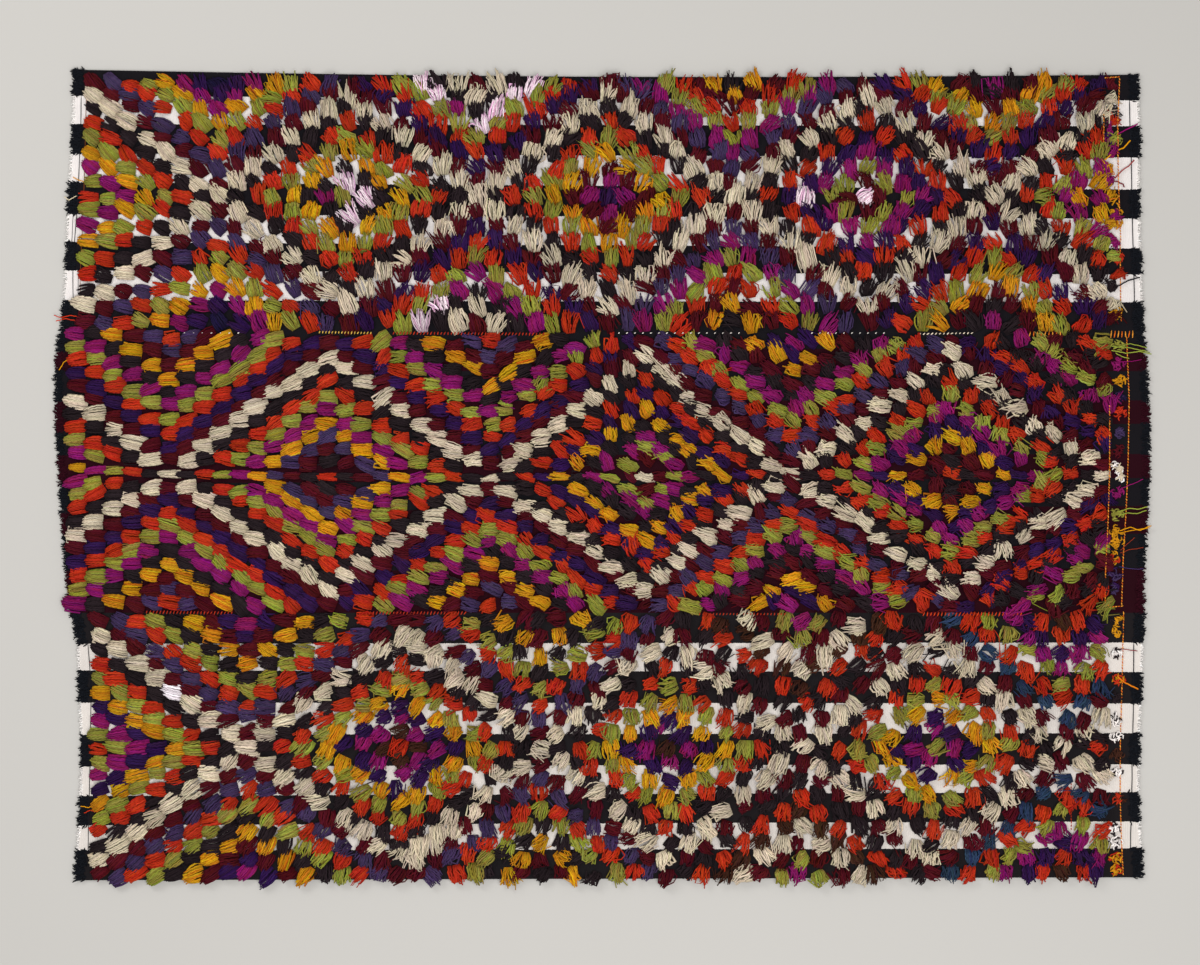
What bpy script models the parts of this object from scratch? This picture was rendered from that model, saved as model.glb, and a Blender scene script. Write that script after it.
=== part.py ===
"""A tulu rug lying flat: three woven strips sewn side by side, each with long wool pile.

Metres, +Z up. X runs along the strips and Y across them, the far strip at +Y. The underside
lies in the plane Z = 0, and the origin is the middle of the rug's outline.
"""

import collections
import math
import random

import bmesh
import bpy
from mathutils import Vector

# Thickness of the bare cloth, and of the pile lying on it
CLOTH = 0.003
PILE = 0.0135
PILE_AT_RIM = 0.0085
PILE_AT_SEAM = 0.0085
PILE_IN_CREASE = 0.005

# Each tuft stands above or below the mean pile, and its crown lies a little off the grid
TUFT_LUMP = 0.0045
TUFT_ROUGHNESS = 0.0020
TUFT_DRIFT = 0.0035

# Bare cloth shows outside the first and the last line of knots; the strips almost touch
PILE_FOOT = 0.012
SEAM_GAP = 0.0003

# Wool locks that hang over the long edges
LOCK_REACH = (0.008, 0.0145)
LOCK_LEAN = 0.005
LOCK_TIP = 0.0025

# Cut warp ends: dark wool is fluffy, pale cotton is short and thin
DARK_FRAY = 0.008
DARK_FRAY_CROWN = 0.0052
PALE_FRAY = 0.004
FRAY_TIP = 0.0018
FRAY_LEAN = 0.0015

# One strip a row, from the far one to the near one: knots are tied in lines across the strip
Strip = collections.namedtuple(
    "Strip", "name width lines knots pile_left pile_right bands pale_bands colour"
)
STRIPS = (
    Strip("panel_far", 0.430, 57, 17, -0.851, 0.857, 9, True, (0.30, 0.16, 0.11)),
    Strip("panel_middle", 0.465, 60, 21, -0.872, 0.857, 10, False, (0.24, 0.08, 0.09)),
    Strip("panel_near", 0.440, 56, 18, -0.838, 0.856, 9, True, (0.30, 0.15, 0.12)),
)

# Reach of the cut ends: distance from the strip's far edge, then X at the left and at the right
End = collections.namedtuple("End", "down left right")
ENDS = {
    "panel_far": (
        End(0.000, -0.881, 0.897),
        End(0.110, -0.884, 0.900),
        End(0.201, -0.891, 0.899),
        End(0.309, -0.895, 0.902),
        End(0.430, -0.901, 0.905),
    ),
    "panel_middle": (
        End(0.000, -0.906, 0.905),
        End(0.066, -0.912, 0.912),
        End(0.150, -0.911, 0.915),
        End(0.234, -0.906, 0.915),
        End(0.335, -0.899, 0.910),
        End(0.400, -0.894, 0.906),
        End(0.465, -0.886, 0.905),
    ),
    "panel_near": (
        End(0.000, -0.883, 0.906),
        End(0.053, -0.875, 0.905),
        End(0.144, -0.872, 0.902),
        End(0.227, -0.868, 0.898),
        End(0.324, -0.871, 0.898),
        End(0.440, -0.879, 0.905),
    ),
}

# Creases left by folding: a line from one point to another, and how far it presses the pile
Crease = collections.namedtuple("Crease", "start end half_width depth")
CREASES = (
    Crease((-0.900, 0.002), (0.850, 0.002), 0.016, 0.0085),
    Crease((0.031, 0.375), (0.031, -0.010), 0.020, 0.0060),
    Crease((0.545, -0.080), (0.545, -0.400), 0.018, 0.0030),
)

CLOTH_COLOUR = (0.035, 0.028, 0.032)
WOOL_ROUGHNESS = 0.95


def wool(name, colour):
    """A matt wool finish."""
    material = bpy.data.materials.new(name)
    material.use_nodes = True
    shader = material.node_tree.nodes["Principled BSDF"]
    shader.inputs["Base Color"].default_value = (*colour, 1.0)
    shader.inputs["Roughness"].default_value = WOOL_ROUGHNESS
    shader.inputs["Metallic"].default_value = 0.0
    return material


def end_at(strip, down, side):
    """X of the woven edge at a distance from the strip's far edge; side is left or right."""
    rows = ENDS[strip.name]
    inwards = DARK_FRAY if side == "left" else -DARK_FRAY
    for near, far in zip(rows, rows[1:]):
        if down <= far.down:
            share = (down - near.down) / (far.down - near.down)
            reach = getattr(near, side) * (1 - share) + getattr(far, side) * share
            return reach + inwards
    return getattr(rows[-1], side) + inwards


def pressed(x, y):
    """How far the creases press the pile down at a point."""
    total = 0.0
    point = Vector((x, y))
    for crease in CREASES:
        start, end = Vector(crease.start), Vector(crease.end)
        run = end - start
        share = min(1.0, max(0.0, (point - start).dot(run) / run.length_squared))
        gap = (point - start - run * share).length
        total += crease.depth * math.exp(-((gap / crease.half_width) ** 2))
    return total


def column_x(strip, column, last, down):
    """X of a grid column: woven edge, foot of the pile, the lines of knots, foot and edge."""
    if column == 0:
        return end_at(strip, down, "left")
    if column == last:
        return end_at(strip, down, "right")
    if column == 1:
        return strip.pile_left - PILE_FOOT
    if column == last - 1:
        return strip.pile_right + PILE_FOOT
    share = (column - 2) / (strip.lines - 1)
    return strip.pile_left * (1 - share) + strip.pile_right * share


def shape_surface(bm, strip, top, rims, rng):
    """Lays a plain grid out as the strip's upper side, one vertex for each knot."""
    last_column = strip.lines + 3
    last_row = strip.knots + 1
    far_height = PILE_AT_RIM if "far" in rims else PILE_AT_SEAM
    near_height = PILE_AT_RIM if "near" in rims else PILE_AT_SEAM
    for vert in bm.verts:
        column = round((vert.co.x + 1) / 2 * last_column)
        row = round((1 - vert.co.y) / 2 * last_row)
        down = strip.width * row / last_row
        x = column_x(strip, column, last_column, down)
        y = top - down
        height = CLOTH
        if 1 < column < last_column - 1:
            rough = rng.uniform(-TUFT_ROUGHNESS, TUFT_ROUGHNESS)
            if row == 0:
                height = far_height + rough / 2
            elif row == last_row:
                height = near_height + rough / 2
            else:
                lump = TUFT_LUMP if (column + row) % 2 else -TUFT_LUMP
                height = PILE + lump + rough
                x += rng.uniform(-TUFT_DRIFT, TUFT_DRIFT)
                y += rng.uniform(-TUFT_DRIFT, TUFT_DRIFT)
            height = max(PILE_IN_CREASE, height - pressed(x, y))
        vert.co = (x, y, height)


def close_underside(bm):
    """Drops a wall from the rim to the floor and closes it with one flat face."""
    rim = [edge for edge in bm.edges if edge.is_boundary]
    skirt = bmesh.ops.extrude_edge_only(bm, edges=rim)["geom"]
    for item in skirt:
        if isinstance(item, bmesh.types.BMVert):
            item.co.z = 0.0
    bmesh.ops.contextual_create(bm, geom=[edge for edge in bm.edges if edge.is_boundary])
    bmesh.ops.recalc_face_normals(bm, faces=bm.faces)
    return [item for item in skirt if isinstance(item, bmesh.types.BMFace)]


def draw_out(bm, wall, stages):
    """Pulls one wall face out into a lock lying on the floor.

    Each stage is a distance out, a shift sideways, a share of the root's width and a height.
    """
    foot = wall.calc_center_median()
    foot.z = 0.0
    out = Vector((wall.normal.x, wall.normal.y, 0.0)).normalized()
    along = Vector((-out.y, out.x, 0.0))
    half_width = max(abs((vert.co - foot).dot(along)) for vert in wall.verts)
    face = wall
    for reach, lean, width, height in stages:
        face = bmesh.ops.extrude_discrete_faces(bm, faces=[face])["faces"][0]
        middle = face.calc_center_median()
        for vert in face.verts:
            side = math.copysign(1.0, (vert.co - middle).dot(along))
            top = height if vert.co.z > 0.0 else 0.0
            vert.co = foot + out * reach + along * (lean + side * half_width * width)
            vert.co.z = top


def edge_lock(bm, wall, rng):
    """A wool lock of the pile, fallen over a long edge of the rug."""
    reach = rng.uniform(*LOCK_REACH)
    lean = rng.uniform(-LOCK_LEAN, LOCK_LEAN)
    root = max(vert.co.z for vert in wall.verts)
    draw_out(bm, wall, ((reach * 0.5, lean * 0.4, 0.78, root), (reach, lean, 0.28, LOCK_TIP)))


def warp_fray(bm, wall, pale, rng):
    """A tuft of cut warp threads at the end of the strip."""
    lean = rng.uniform(-FRAY_LEAN, FRAY_LEAN)
    if pale:
        draw_out(bm, wall, ((PALE_FRAY, lean, 0.8, FRAY_TIP),))
        return
    reach = DARK_FRAY * rng.uniform(0.75, 1.0)
    draw_out(bm, wall, ((reach * 0.5, lean / 2, 0.92, DARK_FRAY_CROWN), (reach, lean, 0.6, FRAY_TIP)))


def add_rim(bm, strip, top, walls, rims, rng):
    """Draws locks from the long outer edges and frays from both cut ends."""
    for wall in sorted(walls, key=lambda face: tuple(face.calc_center_median())):
        middle = wall.calc_center_median()
        side = "far" if wall.normal.y > 0 else "near"
        if abs(wall.normal.x) > 0.5:
            band = int((top - middle.y) / strip.width * strip.bands)
            warp_fray(bm, wall, strip.pale_bands and band % 2 == 1, rng)
        elif side in rims and strip.pile_left < middle.x < strip.pile_right:
            edge_lock(bm, wall, rng)


def build_strip(strip, top, rims, seed, collection):
    """One strip as a closed solid: cloth, pile, edge locks and frayed ends."""
    rng = random.Random(seed)
    bm = bmesh.new()
    bmesh.ops.create_grid(bm, x_segments=strip.lines + 3, y_segments=strip.knots + 1, size=1.0)
    shape_surface(bm, strip, top, rims, rng)
    walls = close_underside(bm)
    add_rim(bm, strip, top, walls, rims, rng)
    for face in bm.faces:
        x = face.calc_center_median().x
        face.material_index = 0 if strip.pile_left < x < strip.pile_right else 1
    mesh = bpy.data.meshes.new(strip.name)
    bm.to_mesh(mesh)
    bm.free()
    mesh.materials.append(wool(strip.name + "_pile", strip.colour))
    mesh.materials.append(wool(strip.name + "_cloth", CLOTH_COLOUR))
    mesh.shade_smooth()
    mesh.set_sharp_from_angle(angle=math.radians(60))
    rug_piece = bpy.data.objects.new(strip.name, mesh)
    collection.objects.link(rug_piece)
    return rug_piece


def centre_on_origin(pieces):
    """Moves every vertex so that the middle of the rug's outline is the origin."""
    points = [vert.co for piece in pieces for vert in piece.data.vertices]
    low_x, high_x = min(p.x for p in points), max(p.x for p in points)
    low_y, high_y = min(p.y for p in points), max(p.y for p in points)
    shift = Vector(((low_x + high_x) / 2, (low_y + high_y) / 2, 0.0))
    for point in points:
        point -= shift


for old in list(bpy.data.objects):
    bpy.data.objects.remove(old, do_unlink=True)

rug = bpy.data.collections.new("tulu_rug")
bpy.context.scene.collection.children.link(rug)

edge_rims = {"panel_far": ("far",), "panel_middle": (), "panel_near": ("near",)}
strip_top = (sum(strip.width for strip in STRIPS) + SEAM_GAP * (len(STRIPS) - 1)) / 2
panels = []
for number, strip in enumerate(STRIPS):
    panels.append(build_strip(strip, strip_top, edge_rims[strip.name], number + 1, rug))
    strip_top -= strip.width + SEAM_GAP
centre_on_origin(panels)
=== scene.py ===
"""Tulu rug seen from straight above: three warp-striped strips sewn side by side, with long
loosely plied wool knots in nested stepped diamonds. Metres, in the frame's own axes.
"""

import math
from collections import namedtuple

import bpy
import numpy as np
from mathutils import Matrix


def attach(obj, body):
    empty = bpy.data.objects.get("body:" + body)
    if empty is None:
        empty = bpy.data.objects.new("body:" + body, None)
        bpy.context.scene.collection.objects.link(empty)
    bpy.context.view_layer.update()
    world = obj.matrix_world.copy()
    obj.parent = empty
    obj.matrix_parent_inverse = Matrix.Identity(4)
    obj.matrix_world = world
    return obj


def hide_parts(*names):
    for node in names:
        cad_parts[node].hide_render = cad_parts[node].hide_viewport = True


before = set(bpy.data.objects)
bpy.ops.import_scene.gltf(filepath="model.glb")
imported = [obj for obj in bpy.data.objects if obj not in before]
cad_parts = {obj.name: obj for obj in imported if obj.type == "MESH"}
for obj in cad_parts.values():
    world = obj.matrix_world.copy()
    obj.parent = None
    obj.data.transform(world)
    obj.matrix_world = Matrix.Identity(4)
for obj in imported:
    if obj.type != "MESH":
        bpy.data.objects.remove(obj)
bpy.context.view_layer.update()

# Studio: a plain pale floor under the rug, broad soft light from overhead and a little from the
# far left, and a camera looking straight down on the photograph's frame.
CAMERA_HEIGHT = 4.0
PILE_LEVEL = 0.010
SENSOR = 36.0
SKY_COLOUR, SKY_STRENGTH = (1.0, 0.99, 0.97, 1.0), 0.58
FLOOR_COLOUR = (0.505, 0.49, 0.465, 1.0)
FLOOR_SIZE, FLOOR_DROP, FLOOR_ROUGHNESS = 12.0, 0.0005, 0.8

# Places on the rug are given in the photograph's own pixels: its size in them, how many metres
# one of them is on the floor, and the pixel where the middle of the rug lies
PHOTO_WIDTH, PHOTO_HEIGHT = 1200, 965
PIXEL = 0.00166
MIDDLE_PX, MIDDLE_PY = 602.5, 476.0


def at_x(px):
    """X in metres of a photograph column."""
    return (px - MIDDLE_PX) * PIXEL


def at_y(py):
    """Y in metres of a photograph row."""
    return (MIDDLE_PY - py) * PIXEL


bpy.ops.object.camera_add(
    location=(at_x(PHOTO_WIDTH / 2), at_y(PHOTO_HEIGHT / 2), CAMERA_HEIGHT + PILE_LEVEL)
)
camera = bpy.context.object
camera.name = "camera"
camera.data.sensor_width = SENSOR
camera.data.lens = SENSOR * CAMERA_HEIGHT / (PHOTO_WIDTH * PIXEL)
bpy.context.scene.camera = camera
bpy.context.scene.view_settings.view_transform = "Standard"

Lamp = namedtuple("Lamp", "name place size watts")
LAMPS = (
    Lamp("overhead", (0.5, -1.0, 3.5), 2.6, 87.0),
    Lamp("far_left", (-2.2, 1.8, 2.4), 1.2, 37.0),
)
for lamp in LAMPS:
    bpy.ops.object.light_add(type="AREA", location=lamp.place)
    light = bpy.context.object
    light.name = lamp.name
    light.data.size = lamp.size
    light.data.energy = lamp.watts
    aim = -light.location
    light.rotation_euler = aim.to_track_quat("-Z", "Y").to_euler()

world = bpy.data.worlds.new("studio")
bpy.context.scene.world = world
world.use_nodes = True
sky = world.node_tree.nodes["Background"]
sky.inputs["Color"].default_value = SKY_COLOUR
sky.inputs["Strength"].default_value = SKY_STRENGTH

bpy.ops.mesh.primitive_plane_add(size=FLOOR_SIZE, location=(0.0, 0.0, -FLOOR_DROP))
floor = bpy.context.object
floor.name = "floor"
floor_material = bpy.data.materials.new("floor")
floor_material.use_nodes = True
floor_shader = floor_material.node_tree.nodes["Principled BSDF"]
floor_shader.inputs["Base Color"].default_value = FLOOR_COLOUR
floor_shader.inputs["Roughness"].default_value = FLOOR_ROUGHNESS
floor.data.materials.append(floor_material)


# Woven grounds: three narrow loom strips of plain weave whose warps run along the rug in broad
# stripes, black and white on the outer two, blue-black and maroon on the middle one. They are
# thin cloth, a little uneven, and the pile hides most of them.
def linear(colour):
    """Linear red, green, blue and alpha of a web colour such as CC3A1C."""
    parts = [int(colour[at : at + 2], 16) / 255 for at in (0, 2, 4)]
    return tuple(p / 12.92 if p <= 0.04045 else ((p + 0.055) / 1.055) ** 2.4 for p in parts) + (1,)


BLACK_WARP = "1B191D"
WORN_BLACK_WARP = "211E20"
WHITE_WARP = "F8F1EE"
# The near strip's white warps are a little darker than the other strips' white
DIMMER_WHITE_WARP = "E9E1DA"
MAROON_WARP = "2B0C15"
CLOTH_TOP = 0.0026
CLOTH_THICKNESS = 0.0024
GRID_ALONG, GRID_ACROSS = 110, 22

# The cloth lies in low waves, a long and a short one, given in radians a metre along X and Y, and
# flutters up at its cut ends. Its stripes' edges waver by a share of the strip's width.
CLOTH_WAVE = 0.0007
LONG_WAVE, SHORT_WAVE, SHORT_WAVE_SHARE = (23, 9), (-7, 41), 0.6
FLUTTER, FLUTTER_REACH, FLUTTER_WAVE = 0.0012, 0.02, 110
STRIPE_WAVER = 0.006

# Stripe edges in photograph rows at the left end and at the right one, from the far edge to the
# near one, and the two warp colours in turn. Ends are rows of (row, left, right): where the woven
# cloth stops, leaving the cut warps. The far edge bows inwards by so many rows at its middle.
Ground = namedtuple("Ground", "name node edges_left edges_right warps bow ends")
GROUNDS = (
    Ground(
        "ground_far", "panel_far",
        (69, 95, 124, 153, 182, 214, 242, 270, 300, 333),
        (74, 100, 126, 157, 190, 218, 249, 274, 302, 333), (BLACK_WARP, WHITE_WARP), 4.5,
        ((69, 75, 1137), (140, 73, 1139), (195, 69, 1138), (260, 67, 1140), (333, 62.5, 1142)),
    ),
    Ground(
        "ground_middle", "panel_middle",
        (333, 352, 369, 402, 432, 456, 484, 513, 536, 571, 613),
        (333, 347, 370, 402, 423, 455, 478, 506, 534, 568, 613), (BLACK_WARP, MAROON_WARP), 0.0,
        ((333, 60, 1142), (373, 56.5, 1146), (424, 57, 1148), (474, 60, 1148), (535, 64, 1145),
         (574, 67, 1142.5), (613, 71.5, 1142)),
    ),
    Ground(
        "ground_near", "panel_near",
        (613, 645, 671, 703, 736, 767, 797, 826, 851, 881),
        (613, 643, 673, 704, 734, 765, 793, 822, 849, 878),
        (WORN_BLACK_WARP, DIMMER_WHITE_WARP), 0.0,
        ((613, 73, 1143), (645, 78.5, 1142), (700, 80, 1140), (750, 82.5, 1138),
         (808, 80.5, 1138), (881, 75.5, 1142)),
    ),
)


def end_of(ground, py, side):
    """Photograph column where the cloth ends at a photograph row; side is 1 left, 2 right."""
    return np.interp(py, [end[0] for end in ground.ends], [end[side] for end in ground.ends])


def add_nodes(material):
    """A material's node adder and linker, and its main shader."""
    material.use_nodes = True
    tree = material.node_tree

    def node(kind, **values):
        made = tree.nodes.new(kind)
        for name, value in values.items():
            if hasattr(made, name):
                setattr(made, name, value)
            else:
                made.inputs[name.replace("_", " ").title()].default_value = value
        return made

    return node, tree.links.new, tree.nodes["Principled BSDF"]


def finish_wool(parts, dye, shade, height, strength, distance):
    """Ends a material's nodes: its dye under a shade, and its bumps, on a quite matt surface."""
    node, link, shader = parts
    tint = node("ShaderNodeVectorMath", operation="SCALE")
    link(dye, tint.inputs[0])
    link(shade, tint.inputs["Scale"])
    link(tint.outputs["Vector"], shader.inputs["Base Color"])
    bump = node("ShaderNodeBump", Strength=strength, Distance=distance)
    link(height, bump.inputs["Height"])
    link(bump.outputs["Normal"], shader.inputs["Normal"])
    shader.inputs["Roughness"].default_value = 1.0
    shader.inputs["Specular IOR Level"].default_value = 0.05


def ground_material(ground):
    """Striped plain weave: warp ribs along the rug, crossed by the weft, faded in patches."""
    material = bpy.data.materials.new(ground.name + "_weave")
    parts = add_nodes(material)
    node, link, _ = parts
    place = node("ShaderNodeTexCoord")
    wobble = node("ShaderNodeTexNoise", Scale=420.0, Detail=2.0)
    link(place.outputs["Object"], wobble.inputs["Vector"])
    ragged = node("ShaderNodeMath", operation="MULTIPLY_ADD")
    ragged.inputs[1].default_value = STRIPE_WAVER
    link(wobble.outputs["Fac"], ragged.inputs[0])
    stripes = node("ShaderNodeUVMap", uv_map="stripes")
    across = node("ShaderNodeSeparateXYZ")
    link(stripes.outputs["UV"], across.inputs[0])
    link(across.outputs["Y"], ragged.inputs[2])
    count = len(ground.edges_left) - 1
    ramp = node("ShaderNodeValToRGB")
    ramp.color_ramp.interpolation = "CONSTANT"
    stops = ramp.color_ramp.elements
    while len(stops) < count:
        stops.new(0.5)
    for number in range(count):
        stops[number].position = number / count
        stops[number].color = linear(ground.warps[number % 2])
    link(ragged.outputs[0], ramp.inputs["Fac"])

    ribs = node("ShaderNodeTexWave", bands_direction="Y", Scale=170.0, Distortion=1.2, Detail=1.0)
    weft = node("ShaderNodeTexWave", bands_direction="X", Scale=95.0, Distortion=1.5, Detail=1.0)
    for wave in (ribs, weft):
        link(place.outputs["Object"], wave.inputs["Vector"])
    weave = node("ShaderNodeMath", operation="MULTIPLY")
    link(ribs.outputs["Fac"], weave.inputs[0])
    link(weft.outputs["Fac"], weave.inputs[1])
    wear = node("ShaderNodeTexNoise", Scale=9.0, Detail=3.0)
    link(place.outputs["Object"], wear.inputs["Vector"])
    # Painted shade: the cloth is darker in the grooves between the warp ribs and the weft
    shade = node("ShaderNodeMapRange", To_Min=0.80, To_Max=1.06)
    link(weave.outputs[0], shade.inputs["Value"])
    faded = node("ShaderNodeMapRange", From_Min=0.3, From_Max=0.75, To_Min=0.92, To_Max=1.08)
    link(wear.outputs["Fac"], faded.inputs["Value"])
    both = node("ShaderNodeMath", operation="MULTIPLY")
    link(shade.outputs["Result"], both.inputs[0])
    link(faded.outputs["Result"], both.inputs[1])
    finish_wool(parts, ramp.outputs["Color"], both.outputs[0], weave.outputs[0], 0.7, 0.0008)
    return material


def shaped(obj, place):
    """Moves every vertex of a mesh object to place(points), points being an array of rows."""
    points = np.empty(len(obj.data.vertices) * 3)
    obj.data.vertices.foreach_get("co", points)
    obj.data.vertices.foreach_set("co", place(points.reshape(-1, 3)).ravel())
    obj.data.update()


def lay_ground(ground):
    """One strip of cloth: a fine grid pulled to the strip's outline and given its thickness."""
    bpy.ops.object.select_all(action="DESELECT")
    bpy.ops.mesh.primitive_grid_add(x_subdivisions=GRID_ALONG, y_subdivisions=GRID_ACROSS, size=1)
    cloth = bpy.context.object
    cloth.name = ground.name

    stripe = np.arange(len(ground.edges_left))

    def place(points):
        share = points[:, 0] + 0.5
        band = (0.5 - points[:, 1]) * stripe[-1]
        row = (np.interp(band, stripe, ground.edges_left) * (1 - share)
               + np.interp(band, stripe, ground.edges_right) * share)
        row += ground.bow * np.sin(math.pi * share) * np.maximum(0, 1 - band)
        left, right = at_x(end_of(ground, row, 1)), at_x(end_of(ground, row, 2))
        x = left + share * (right - left)
        y = at_y(row)
        wave = np.sin(x * LONG_WAVE[0] + y * LONG_WAVE[1])
        wave += np.sin(y * SHORT_WAVE[1] + x * SHORT_WAVE[0]) * SHORT_WAVE_SHARE
        from_end = np.minimum(x - left, right - x)
        flutter = np.exp(-from_end / FLUTTER_REACH) * (np.sin(y * FLUTTER_WAVE) + 1) * 0.5
        z = CLOTH_TOP + CLOTH_WAVE * (0.5 + 0.25 * wave) + FLUTTER * flutter
        return np.stack([x, y, z], axis=1)

    flat = np.empty(len(cloth.data.vertices) * 3)
    cloth.data.vertices.foreach_get("co", flat)
    corner = np.empty(len(cloth.data.loops), np.int32)
    cloth.data.loops.foreach_get("vertex_index", corner)
    flat = flat.reshape(-1, 3)[corner]
    stripes = np.stack([flat[:, 0] + 0.5, 0.5 - flat[:, 1]], axis=1)
    cloth.data.uv_layers[0].name = "stripes"
    cloth.data.uv_layers[0].data.foreach_set("uv", stripes.ravel())
    shaped(cloth, place)
    thick = cloth.modifiers.new("thickness", "SOLIDIFY")
    thick.thickness = CLOTH_THICKNESS
    thick.offset = -1.0
    bpy.ops.object.modifier_apply(modifier=thick.name)
    bpy.ops.object.shade_smooth_by_angle(angle=math.radians(50))
    cloth.data.materials.append(ground_material(ground))
    return cloth


grounds = {ground.name: lay_ground(ground) for ground in GROUNDS}


# Knotted pile: hanks of loosely plied wool knotted in lines across each strip, long enough to
# lie down over the next knot. Most ends are cut and spread like a brush, some stay looped.
WOOL = {
    "orange": "A42B17", "gold": "B47B16", "green": "807C33", "magenta": "771753",
    "violet": "2B153E", "lavender": "3B2D4C", "maroon": "481018", "black": "231B1E",
    "cream": "BEAF98", "pink": "DCC8D0", "brown": "3A2118", "blue": "28364F", "night": "1B1530",
    "white": "E0D8D4", "pale": "E6DCE2",
}
# Wools spun thicker than the rest, whose knots are that much bigger
BULKY = {"cream": 1.12, "pink": 1.06}
# Wools that are mixed with a second one, strand by strand
MIXED = {"pink": "CFA0BE", "white": "1C1A1E"}
STRANDS = 20
STRAY_STRANDS = (1, 4, 7, 10, 12, 15, 18)
RINGS = 4
STRAND_HALF_WIDTH = 0.0020
STRAY_HALF_WIDTH = 0.0012
STRAND_FLATNESS = 0.6

# Diamonds, with their middles in the strip's middle or half at both its long edges: the line of
# knots at each one's middle, and its rings of colour from there outwards.
DIAMONDS = {
    ("far", "middle"): {
        0: "orange green magenta gold green orange black cream",
        14: "green magenta black gold green orange black cream",
        28: "violet magenta maroon gold green orange black cream",
        42: "pink maroon green magenta violet orange black cream",
        56: "gold magenta gold magenta green orange black cream",
    },
    ("far", "edges"): {
        7: "night violet magenta gold green orange lavender maroon",
        21: "maroon cream black magenta green orange violet maroon",
        35: "black gold maroon orange green magenta lavender maroon",
        49: "magenta black maroon gold green orange violet maroon",
    },
    ("middle", "middle"): {
        -4: "gold gold gold gold gold magenta green orange black cream",
        14: "orange black maroon lavender gold magenta green orange black cream",
        32: "cream maroon green magenta black gold violet orange black cream",
        50: "orange black maroon gold violet magenta green orange black cream",
    },
    ("middle", "edges"): {
        5: "orange lavender maroon gold black magenta green orange violet maroon",
        23: "orange lavender maroon gold black magenta green orange violet maroon",
        41: "magenta violet gold maroon black magenta green orange lavender maroon",
        59: "green orange black maroon green magenta black orange violet maroon",
    },
    ("near", "middle"): {
        0: "orange green magenta violet gold green orange black cream",
        16: "orange brown magenta violet gold green orange black cream",
        31: "brown magenta violet gold green orange black cream",
        45: "green magenta violet gold green orange black cream",
        59: "black black black black green orange black cream",
    },
    ("near", "edges"): {
        8: "magenta violet maroon gold black green orange lavender maroon",
        24: "black maroon gold black green orange lavender maroon",
        38: "magenta green maroon cream brown orange black maroon",
        52: "brown orange violet magenta green orange blue maroon",
    },
}

# Single knots in another wool than their ring's: (line, row counted from 1) and the wool.
MENDED = {
    "far": dict.fromkeys(((14, 8), (15, 9), (14, 10), (39, 9), (18, 1), (19, 2), (23, 2), (24, 1),
                          (22, 3), (21, 4), (19, 16), (18, 17)), "pink"),
    "middle": {},
    "near": {(4, 6): "pale"},
}

# Where each strip's lines of knots stand along the rug: (line, photograph column).
LINE_COLUMNS = {
    "far": ((0, 89), (7, 218), (14, 347), (21, 477), (28, 609), (35, 732), (42, 867),
            (49, 994), (55, 1099), (56, 1113)),
    "middle": ((0, 76), (5, 169), (14, 327), (23, 490), (32, 646), (36, 705), (41, 791), (50, 952),
               (58, 1088), (59, 1102)),
    "near": ((0, 99.5), (8, 247), (16, 400), (24, 540), (31, 667), (38, 802), (45, 933),
             (52, 1063), (54, 1099)),
}
# How the pile lies: at a photograph column, the way the tips point in degrees from +X at the
# strip's far and near edges, how much knots differ, how far the ends fan open, how frizzy they
# are, and the tufts' size.
Lay = namedtuple("Lay", "column far near wander fan frizz size")
LAYS = {
    "far": (
        (85, 148, 178, 12, 0.08, 0.20, 0.97), (175, 138, 160, 14, 0.20, 0.30, 0.97),
        (265, 115, 122, 16, 0.50, 0.42, 1.03), (360, 98, 102, 16, 0.80, 0.56, 1.07),
        (600, 92, 97, 18, 0.85, 0.62, 1.08), (960, 90, 92, 20, 0.85, 0.66, 1.08),
        (1080, 88, 82, 24, 0.80, 0.75, 1.06), (1100, 84, 76, 26, 0.78, 0.80, 1.00),
        (1113, 70, 65, 34, 0.60, 0.95, 0.62),
    ),
    "middle": (
        (76, 176, 184, 7, 0.03, 0.20, 0.97), (170, 184, 172, 7, 0.03, 0.20, 0.97),
        (220, 204, 156, 8, 0.05, 0.25, 0.97), (310, 203, 144, 9, 0.08, 0.30, 0.97),
        (350, 190, 155, 12, 0.10, 0.35, 0.96), (450, 175, 170, 14, 0.15, 0.45, 0.95),
        (540, 198, 148, 14, 0.20, 0.50, 0.94), (618, 120, 150, 18, 0.40, 0.60, 0.92),
        (665, 150, 158, 14, 0.20, 0.60, 0.94), (870, 140, 158, 18, 0.30, 0.75, 0.94),
        (960, 122, 178, 26, 0.40, 0.90, 0.93), (1110, 135, 200, 32, 0.40, 0.90, 0.91),
    ),
    "near": (
        (99, 152, 212, 9, 0.05, 0.25, 0.90), (118, 152, 212, 9, 0.05, 0.25, 1.05),
        (200, 156, 214, 11, 0.10, 0.30, 1.05), (290, 180, 235, 15, 0.30, 0.50, 1.03),
        (380, 205, 255, 20, 0.40, 0.70, 0.99), (600, 235, 265, 26, 0.40, 0.85, 0.97),
        (900, 250, 268, 30, 0.40, 0.90, 0.98), (1115, 262, 275, 28, 0.45, 0.90, 0.97),
    ),
}

# The size of a tuft, how much sizes differ, and how much shorter a frizzy one is; then how many
# pixels tufts stray from their places, and how many more a frizzy one does
TUFT_LENGTH = 21.5 * PIXEL
TUFT_WIDTH_UPRIGHT = 16.0 * PIXEL
TUFT_WIDTH_LYING = 13.8 * PIXEL
PILE_HEIGHT = 0.0098
WIDTH_RANGE, LENGTH_RANGE, HEIGHT_RANGE = (0.88, 1.12), (0.85, 1.15), (0.8, 1.2)
FRIZZ_SHORTENS = 0.14
TUFT_STRAY, FRIZZY_STRAY = 1.0, 1.5

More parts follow.
